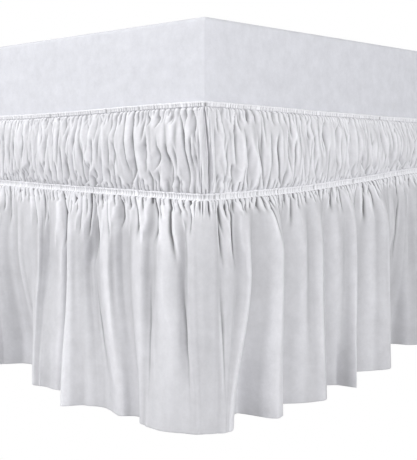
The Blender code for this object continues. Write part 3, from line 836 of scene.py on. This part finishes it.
# ---- the band
def hidden_creases(start, end, rng):
    """Worked-out creases of the band between two distances along the walls."""
    creases = []
    place = start
    while place < end:
        first = rng.uniform(*CREASE_START)
        last = first + rng.uniform(*CREASE_RUN)
        bent = [place + rng.uniform(-CREASE_LEAN, CREASE_LEAN) for _ in range(3)]
        share = rng.uniform(*CREASE_DEPTH)
        width = CREASE_WIDTH[0] + CREASE_WIDTH[1] * share
        creases.append((*bent, max(0.0, first), min(1.0, last), share, width))
        place += rng.uniform(*CREASE_PITCH)
    return creases


def band_creases(start, end, creases, seed):
    """All the creases of a length of the band, with their falls in metres."""
    return np.concatenate((
        np.array(creases) * (1.0, 1.0, 1.0, BAND_FALL, BAND_FALL, *CREASE_UNIT),
        edge_gathers(start, end, seed + 1),
        turned_up(edge_gathers(start, end, seed + 3), BAND_FALL),
        scattered(gathers(start, end, BAND_FOLDS, seed + 12), BAND_FALL, seed + 13),
    ))


def band_crest(tops, rows, height, edge, seed):
    """Stand-off of the puffed band before its creases."""
    along = tops[:, None]
    swell = np.sin(math.pi * rows ** BAND_SWELL[0]) ** BAND_SWELL[1]
    puff = through(BAND_PUFF, 1, corner_distance(along))
    puff = puff + cloth_noise(along, height, PUFF_WAVES, seed)
    slant = along + FACET_SLANT * height
    facets = np.abs(cloth_noise(slant, height, FACETS, seed + 1)) - FACET_MEAN * FACETS[0]
    streaks = cloth_noise(along, height, STREAKS, seed + 2)
    return blend(GATHERED_CREST, puff, swell) + (facets + streaks) * smooth(edge / BAND_INNER_RUN)


def make_band(name, start, end, creases, seed):
    """One length of the shirred band."""
    tops = columns_between(start, end)
    rows = (1 - np.cos(np.linspace(0, math.pi, BAND_ROWS))) / 2
    rows = blend(rows, np.linspace(0, 1, BAND_ROWS), BAND_ROW_EASE)
    creases = band_creases(start, end, creases, seed)
    depths = carved(tops, rows * BAND_FALL, creases, BAND_FALL, BAND_TIP, seed)
    upper = (elastic_height(tops, 1) - UPPER_ELASTIC_HEIGHT)[:, None]
    lower = (elastic_height(tops, 2) + LOWER_ELASTIC_HEIGHT / 2)[:, None]
    height = blend(upper, lower, rows)
    edge = np.minimum(upper - height, height - lower)
    crest = band_crest(tops, rows, height, edge, seed + 5)
    out = sunk(crest, depths * snugness(tops[:, None], crest))
    lean = wandering(tops, LEAN_WANDER, seed + 8)[:, None] * smooth(edge / BAND_LEAN_RUN)
    # Painted shade down in the band's creases and folds, painted highlight on its crests
    painted_shade = hollows(tops, out, *CREASE_HOLLOW) + BAND_FOLD_WEIGHT * hollows(tops, out, *FOLD_HOLLOW)
    out[:, (0, -1)] = GATHERED_VALLEY
    height[:, 0] += TUCK
    height[:, -1] -= TUCK
    points = cloth_points(tops[:, None] - lean * depths, out, height)
    # Painted light: the whole band's colour made lighter
    painted_shade -= BAND_PAINTED_LIGHT
    return cloth_object(name, points, False, tops * FULLNESS, upper - height, painted_shade)


# ---- the elastics
# Sections of the elastics, from the wall out and round.
# Columns: height above the lower edge as a share, stand-off, share of the ribs' depth
UPPER_SECTION = (
    (0.00, 0.0008, 0.0),
    (0.50, 0.0004, 0.0),
    (1.02, 0.0008, 0.0),
    (1.10, 0.0026, 0.1),
    (1.06, 0.0042, 0.2),
    (0.94, 0.0050, 0.3),
    (0.80, 0.0046, 0.4),
    (0.66, 0.0040, 1.0),
    (0.46, 0.0038, 1.0),
    (0.28, 0.0040, 1.0),
    (0.17, 0.0036, 0.8),
    (0.11, 0.0022, 0.3),
)
LOWER_SECTION = (
    (0.00, 0.0008, 0.0),
    (0.50, 0.0004, 0.0),
    (1.00, 0.0008, 0.0),
    (1.04, 0.0030, 0.1),
    (1.01, 0.0044, 0.3),
    (0.92, 0.0050, 0.4),
    (0.82, 0.0046, 0.5),
    (0.72, 0.0038, 1.0),
    (0.50, 0.0036, 1.0),
    (0.28, 0.0038, 1.0),
    (0.18, 0.0046, 0.5),
    (0.08, 0.0050, 0.4),
    (-0.02, 0.0044, 0.3),
    (-0.06, 0.0030, 0.1),
)
RIB_PITCH = 0.0040
RIB_DEPTH = 0.0022
RIB_ROUNDNESS = 0.85
RIB_MEAN = 0.68
# Wandering of the ribs' spacing in turns, of their depth and of the casing's edge, with its pitch
RIB_WANDER = (0.9, 0.007)
DEPTH_WANDER = (0.7, 0.006)
EDGE_WANDER = (0.0004, 0.006)
RIB_STRENGTH = 0.80
# Painted shade of the casing: darker where fully ribbed and between ribs, with painted highlights on rib
# crests and where the ribs fade out at its edges
RIBBED_FROM = 0.6
FLAT_SHADE = 0.2
RIB_SHADE = 0.8
WALL_SIDE = 0.002
CLOSE_RIB_STEP = 0.0008
OPEN_RIB_STEP = 0.0015


def make_elastic(name, section, column, below, height, seed):
    """An elastic in its casing, ribbed by the gathers it holds."""
    close = np.arange(CLOSE_FROM, CLOSE_TO, CLOSE_RIB_STEP)
    along = np.concatenate((close, np.arange(CLOSE_TO, PERIMETER + CLOSE_FROM, OPEN_RIB_STEP)))
    lower_edge = elastic_height(along, column) - below
    lengths = np.cumsum(np.gradient(along) * snugness(along, 0.0))
    rib = pleats(2 * math.pi * (lengths / RIB_PITCH + wandering(lengths, RIB_WANDER, seed)))
    rib *= RIB_STRENGTH + wandering(lengths, DEPTH_WANDER, seed + 2)
    shares, outs, ribbing = np.array(section).T[:, None, :]
    ribbed = rib[:, None] * ribbing
    out = outs + RIB_DEPTH * ribbed
    uneven = wandering(lengths, EDGE_WANDER, seed + 1)[:, None] * (outs > WALL_SIDE)
    height_of = lower_edge[:, None] + height * shares + uneven
    points = cloth_points(along[:, None], out, height_of)
    # Painted shade of the casing, painted highlights on its rib crests and edges
    painted_shade = np.clip(FLAT_SHADE * (ribbing - RIBBED_FROM) - RIB_SHADE * ribbed, -1.0, 1.0)
    return cloth_object(name, points, True, along, height_of, painted_shade)


# ---- materials
COTTON = (0.590, 0.590, 0.615)
ELASTIC = (0.77, 0.77, 0.80)
COVER = (0.640, 0.646, 0.686)
BEECH = (0.50, 0.33, 0.19)
DARK_GRAIN = (0.36, 0.21, 0.11)
PALE_GRAIN = (0.58, 0.40, 0.24)
FLOOR = (0.56, 0.56, 0.57)
WHITE = (1.0, 1.0, 1.0, 1.0)
# Most painted highlight on crests, as a share of the painted shade's strength
PAINTED_CREST_HIGHLIGHT = 0.4


def add_node(tree, kind, inputs, **settings):
    """A shader node with its settings and the values of its inputs."""
    node = tree.nodes.new("ShaderNode" + kind)
    for setting, value in settings.items():
        setattr(node, setting, value)
    for socket, value in inputs.items():
        node.inputs[socket].default_value = value
    return node


def new_material(name, colour, roughness):
    """A Principled material, its node tree and its shader."""
    material = bpy.data.materials.new(name)
    material.use_nodes = True
    shader = material.node_tree.nodes["Principled BSDF"]
    shader.inputs["Base Color"].default_value = (*colour, 1.0)
    shader.inputs["Roughness"].default_value = roughness
    return material, material.node_tree, shader


def add_weave(tree, thread, bump):
    """Crossed threads as bump; gives its normals."""
    link = tree.links.new
    measures = add_node(tree, "UVMap", {}, uv_map="cloth")
    crossing = add_node(tree, "Math", {}, operation="MAXIMUM")
    ripple = {"Scale": math.pi / (10 * thread), "Distortion": 0.6, "Detail": 1.0}
    for index, direction in enumerate("XY"):
        wave = add_node(
            tree, "TexWave", ripple, wave_type="BANDS", bands_direction=direction, wave_profile="SIN"
        )
        link(measures.outputs["UV"], wave.inputs["Vector"])
        link(wave.outputs["Fac"], crossing.inputs[index])
    weave = add_node(tree, "Bump", {"Strength": bump, "Distance": 0.0002})
    link(crossing.outputs["Value"], weave.inputs["Height"])
    return weave.outputs["Normal"]


def add_crumple(tree, place, normals):
    """Fine soft unevenness as bump over other normals; gives its normals."""
    link = tree.links.new
    crumple = add_node(tree, "TexNoise", {"Scale": 90.0, "Detail": 3.0})
    link(place, crumple.inputs["Vector"])
    soft = add_node(tree, "Bump", {"Strength": 0.55, "Distance": 0.0008})
    link(crumple.outputs["Fac"], soft.inputs["Height"])
    link(normals, soft.inputs["Normal"])
    return soft.outputs["Normal"]


def add_clouds(tree, place, colour, mottle):
    """A colour, faintly cloudy; gives the colour."""
    link = tree.links.new
    cloud = add_node(tree, "TexNoise", {"Scale": 38.0, "Detail": 6.0, "Roughness": 0.80})
    link(place, cloud.inputs["Vector"])
    darker = (*(channel * (1 - mottle) for channel in colour), 1.0)
    lighter = (*(min(1.0, channel * (1 + mottle)) for channel in colour), 1.0)
    tint = add_node(tree, "Mix", {"A": darker, "B": lighter}, data_type="RGBA")
    link(cloud.outputs["Fac"], tint.inputs["Factor"])
    return tint.outputs["Result"]


def add_painted_crease_shade(tree, colour, crease):
    """A colour with painted shade down in creases and a painted highlight on crests, as strong as crease,
    read from the painted-shade attribute; gives the colour.
    """
    link = tree.links.new
    painted_shade = add_node(tree, "Attribute", {}, attribute_name="painted_shade")
    reach = {
        "From Min": -PAINTED_CREST_HIGHLIGHT,
        "From Max": 1.0,
        "To Min": 1 + PAINTED_CREST_HIGHLIGHT * crease,
        "To Max": 1 - crease,
    }
    shade = add_node(tree, "MapRange", reach)
    link(painted_shade.outputs["Fac"], shade.inputs["Value"])
    shaded = add_node(tree, "VectorMath", {}, operation="SCALE")
    link(colour, shaded.inputs["Vector"])
    link(shade.outputs["Result"], shaded.inputs["Scale"])
    return shaded.outputs["Vector"]


# crease: strength of the painted shade in creases and of the painted highlights on crests
def woven_material(name, colour, roughness, thread, mottle, sheen, bump, crease):
    """Plain-woven cloth: crossed threads as bump, faintly cloudy, with painted shade down in its creases
    and painted highlights on its crests, as strong as crease.
    """
    material, tree, shader = new_material(name, colour, roughness)
    shader.inputs["Sheen Weight"].default_value = sheen
    shader.inputs["Sheen Roughness"].default_value = 0.5
    shader.inputs["Specular IOR Level"].default_value = 0.25
    place = add_node(tree, "TexCoord", {}).outputs["Object"]
    normals = add_crumple(tree, place, add_weave(tree, thread, bump))
    tree.links.new(normals, shader.inputs["Normal"])
    shaded = add_painted_crease_shade(tree, add_clouds(tree, place, colour, mottle), crease)
    tree.links.new(shaded, shader.inputs["Base Color"])
    return material


def wood_material():
    """Oiled beech: long grain up the leg and fine flecks."""
    material, tree, shader = new_material("beech", BEECH, 0.45)
    link = tree.links.new
    place = add_node(tree, "TexCoord", {})
    stretch = add_node(tree, "Mapping", {"Scale": (60.0, 60.0, 4.0)})
    link(place.outputs["Object"], stretch.inputs["Vector"])
    grain = add_node(tree, "TexNoise", {"Scale": 1.0, "Detail": 8.0})
    link(stretch.outputs["Vector"], grain.inputs["Vector"])
    tones = add_node(tree, "ValToRGB", {})
    for stop, position, colour in zip(tones.color_ramp.elements, (0.35, 0.65), (DARK_GRAIN, PALE_GRAIN)):
        stop.position = position
        stop.color = (*colour, 1.0)
    link(grain.outputs["Fac"], tones.inputs["Fac"])
    link(tones.outputs["Color"], shader.inputs["Base Color"])
    pores = add_node(tree, "Bump", {"Strength": 0.15, "Distance": 0.0005})
    link(grain.outputs["Fac"], pores.inputs["Height"])
    link(pores.outputs["Normal"], shader.inputs["Normal"])
    return material


# ---- base and cover
COVER_CELL = 0.030
COVER_SEAM = 0.0006
ON_DIAGONAL = 1e-5
FACES_UP = 0.7


def cover_shape():
    """A soft-edged box the size of the base, with a seam down each corner."""
    shape = bmesh.new()
    bmesh.ops.create_cube(shape, size=1.0)
    size = BASE_HIGH - BASE_LOW
    bmesh.ops.scale(shape, vec=size, verts=shape.verts)
    bmesh.ops.translate(shape, vec=(BASE_HIGH + BASE_LOW) / 2, verts=shape.verts)
    bmesh.ops.bevel(
        shape,
        geom=shape.edges[:] + shape.verts[:],
        offset=BASE_EDGE_RADIUS,
        segments=4,
        profile=0.5,
        affect="EDGES",
        clamp_overlap=True,
    )
    inset = Vector((1, 1)) * BASE_EDGE_RADIUS
    for vertex in shape.verts:
        corner = Vector((abs(vertex.co.x) - size.x / 2, abs(vertex.co.y) - size.y / 2)) + inset
        if corner.x > 0 and abs(corner.x - corner.y) < ON_DIAGONAL:
            vertex.co.x += math.copysign(COVER_SEAM, vertex.co.x)
            vertex.co.y += math.copysign(COVER_SEAM, vertex.co.y)
    for axis in range(3):
        cuts = max(1, round(size[axis] / COVER_CELL))
        long_edges = [
            edge
            for edge in shape.edges
            if abs(edge.verts[0].co[axis] - edge.verts[1].co[axis]) > size[axis] / 2
        ]
        bmesh.ops.subdivide_edges(shape, edges=long_edges, cuts=cuts, use_grid_fill=True)
    bmesh.ops.recalc_face_normals(shape, faces=shape.faces)
    return shape


def make_cover():
    """The base's fitted cover, with its cloth measures as UV."""
    mesh = bpy.data.meshes.new("base_cover")
    shape = cover_shape()
    shape.to_mesh(mesh)
    shape.free()
    layer = mesh.uv_layers.new(name="cloth")
    for polygon in mesh.polygons:
        x, y, z = (abs(part) for part in polygon.normal)
        axes = (0, 1) if z > FACES_UP else (1, 2) if x > y else (0, 2)
        for loop in polygon.loop_indices:
            point = mesh.vertices[mesh.loops[loop].vertex_index].co
            layer.data[loop].uv = [point[axis] for axis in axes]
    mesh.shade_smooth()
    return in_scene("base_cover", mesh)


# ---- light and view
EYE_HEIGHT = 0.360
CORNER_DEPTH = 0.9606
VIEW_TURN = math.radians(43.5)
FOCAL_PIXELS = 790.0
FRAME_HEIGHT = 460.0
SENSOR = 36.0
CORNER_OFFSET = -0.00426
HORIZON_RISE = 91.0
VIEW_RIGHT = Vector((math.cos(VIEW_TURN), math.sin(VIEW_TURN), 0.0))
VIEW_AHEAD = Vector((-math.sin(VIEW_TURN), math.cos(VIEW_TURN), 0.0))
CLIP_START = 0.05
CLIP_END = 60.0
FLOOR_SIZE = 40.0
SKY_STRENGTH = 0.26


def add_camera():
    """The camera at the front corner, level, a little below the top of the base."""
    corner = Vector((BASE_HIGH.x, BASE_LOW.y, EYE_HEIGHT))
    lens = bpy.data.cameras.new("camera")
    camera = in_scene("camera", lens)
    turned = Matrix((VIEW_RIGHT, Vector((0.0, 0.0, 1.0)), -VIEW_AHEAD)).transposed().to_4x4()
    eye = corner - VIEW_AHEAD * CORNER_DEPTH - VIEW_RIGHT * CORNER_OFFSET
    camera.matrix_world = Matrix.Translation(eye) @ turned
    lens.sensor_width = SENSOR
    lens.lens = FOCAL_PIXELS / FRAME_HEIGHT * SENSOR
    lens.shift_y = -HORIZON_RISE / FRAME_HEIGHT
    lens.clip_start = CLIP_START
    lens.clip_end = CLIP_END
    bpy.context.scene.camera = camera


def add_area(name, location, target, size, power):
    """A soft box light."""
    light = bpy.data.lights.new(name, "AREA")
    light.shape = "SQUARE"
    light.size = size
    light.energy = power
    lamp = in_scene(name, light)
    lamp.location = location
    aim = Vector(target) - Vector(location)
    lamp.rotation_euler = aim.to_track_quat("-Z", "Y").to_euler()


def from_corner(across, back, up):
    """A place seen from the camera's side of the corner: to its right, nearer, above the floor."""
    corner = Vector((BASE_HIGH.x, BASE_LOW.y, 0.0))
    return corner + VIEW_RIGHT * across - VIEW_AHEAD * back + Vector((0.0, 0.0, up))


def lit_or_white(tree, lit, white, output):
    """Show a surface as white to the eye while it lights the scene as usual."""
    paths = add_node(tree, "LightPath", {})
    either = add_node(tree, "MixShader", {})
    tree.links.new(paths.outputs["Is Camera Ray"], either.inputs["Fac"])
    tree.links.new(lit, either.inputs[1])
    tree.links.new(white, either.inputs[2])
    tree.links.new(either.outputs["Shader"], tree.nodes[output].inputs["Surface"])


def add_studio():
    """Pale floor, white surroundings and soft lights."""
    bpy.ops.mesh.primitive_plane_add(size=FLOOR_SIZE, location=(0.0, 0.0, 0.0))
    floor = bpy.context.object
    floor.name = "floor"
    material, tree, shader = new_material("white floor", FLOOR, 0.9)
    glow = add_node(tree, "Emission", {"Color": WHITE})
    lit_or_white(tree, shader.outputs["BSDF"], glow.outputs["Emission"], "Material Output")
    floor.data.materials.append(material)
    world = bpy.data.worlds.new("white")
    bpy.context.scene.world = world
    world.use_nodes = True
    tree = world.node_tree
    sky = tree.nodes["Background"]
    sky.inputs["Color"].default_value = WHITE
    sky.inputs["Strength"].default_value = SKY_STRENGTH
    seen = add_node(tree, "Background", {"Color": WHITE})
    lit_or_white(tree, sky.outputs["Background"], seen.outputs["Background"], "World Output")
    target = from_corner(0.0, 0.0, 0.25)
    add_area("left", from_corner(-2.9, 0.5, 2.3), target, 0.6, 94.0)
    add_area("right", from_corner(2.2, 1.9, 1.5), target, 1.2, 45.0)
    add_area("front", from_corner(0.4, 3.2, 1.4), target, 0.9, 41.0)
    add_area("behind", (-2.2, 3.0, 2.3), (0.0, 0.0, 0.3), 1.6, 110.0)
    bpy.context.scene.view_settings.view_transform = "Standard"


# ---- the scene
def skirt_folds(rng):
    """Folds of the ruffle's front length and of its rear length."""
    space = FOLD_HALF_PITCH[0]
    front = [
        seam_fold(FRONT_RUN[0]),
        *hidden_folds(FRONT_RUN[0] + space, FRONT_FOLDS[0][0] - space, rng),
        *FRONT_FOLDS,
        *hidden_folds(FRONT_FOLDS[-1][2] + space, FRONT_RUN[1] - space, rng),
        seam_fold(FRONT_RUN[1]),
    ]
    rear = [
        seam_fold(REAR_RUN[0]),
        *hidden_folds(REAR_RUN[0] + space, REAR_RUN[1] - space, rng),
        seam_fold(REAR_RUN[1]),
    ]
    for wall in (1, 2):
        widen_crest(rear, wall)
    return front, rear


def skirt_gathers():
    """Deeper gathers of the ruffle's front length and of its rear length."""
    seen = np.array(RUFFLE_CREASES) * (1.0, 1.0, 1.0, 1.0, 1.0, *CREASE_UNIT)
    front = np.concatenate((
        gathers(FRONT_RUN[0], seen[0, 0], MAIN_GATHERS, 21),
        seen,
        gathers(seen[-1, 0], FRONT_RUN[1], MAIN_GATHERS, 22),
    ))
    return front, gathers(*REAR_RUN, MAIN_GATHERS, 23)


def skirt_creases(rng):
    """Creases of the band's front length and of its rear length."""
    pitch = CREASE_PITCH[1]
    front = [
        *hidden_creases(FRONT_RUN[0] + pitch, FRONT_CREASES[0][0] - pitch, rng),
        *FRONT_CREASES,
        *hidden_creases(FRONT_CREASES[-1][0] + pitch, FRONT_RUN[1] - pitch, rng),
    ]
    return front, hidden_creases(REAR_RUN[0] + pitch, REAR_RUN[1] - pitch, rng)


def make_skirt():
    """The whole skirt, each piece standing for its solid."""
    cotton = woven_material(
        "skirt cotton", COTTON, 0.9, thread=0.0006, mottle=0.20, sheen=0.15, bump=0.35, crease=0.74
    )
    elastic = woven_material(
        "skirt elastic", ELASTIC, 0.85, thread=0.0009, mottle=0.03, sheen=0.1, bump=0.6, crease=0.9
    )
    rng = random.Random(7)
    runs = zip(("front", "rear"), (100, 300), skirt_folds(rng), skirt_gathers(), skirt_creases(rng))
    for name, seed, folds, main_gathers, creases in runs:
        ruffle = make_ruffle("ruffle_cloth_" + name, folds, main_gathers, seed)
        ruffle.data.materials.append(cotton)
        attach(ruffle, "root")
        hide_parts("ruffle_" + name)
        band = make_band("band_cloth_" + name, folds[0][0], folds[-1][0], creases, seed + 50)
        band.data.materials.append(cotton)
        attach(band, "root")
        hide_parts("band_" + name)
    upper = make_elastic(
        "upper_casing", UPPER_SECTION, 1, UPPER_ELASTIC_HEIGHT, UPPER_ELASTIC_HEIGHT, 11
    )
    lower = make_elastic(
        "lower_casing", LOWER_SECTION, 2, LOWER_ELASTIC_HEIGHT / 2, LOWER_ELASTIC_HEIGHT, 12
    )
    for piece, node in ((upper, "elastic_upper"), (lower, "elastic_lower")):
        piece.data.materials.append(elastic)
        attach(piece, "root")
        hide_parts(node)


def make_base():
    """The base in its cover, and its wooden legs."""
    cover = make_cover()
    cotton = woven_material(
        "base cover", COVER, 0.9, thread=0.0007, mottle=0.20, sheen=0.1, bump=0.3, crease=0.0
    )
    cover.data.materials.append(cotton)
    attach(cover, "root")
    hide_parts("bed_base")
    beech = wood_material()
    for name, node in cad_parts.items():
        if name.startswith("leg_"):
            node.data.materials.clear()
            node.data.materials.append(beech)


add_camera()
make_skirt()
make_base()
add_studio()
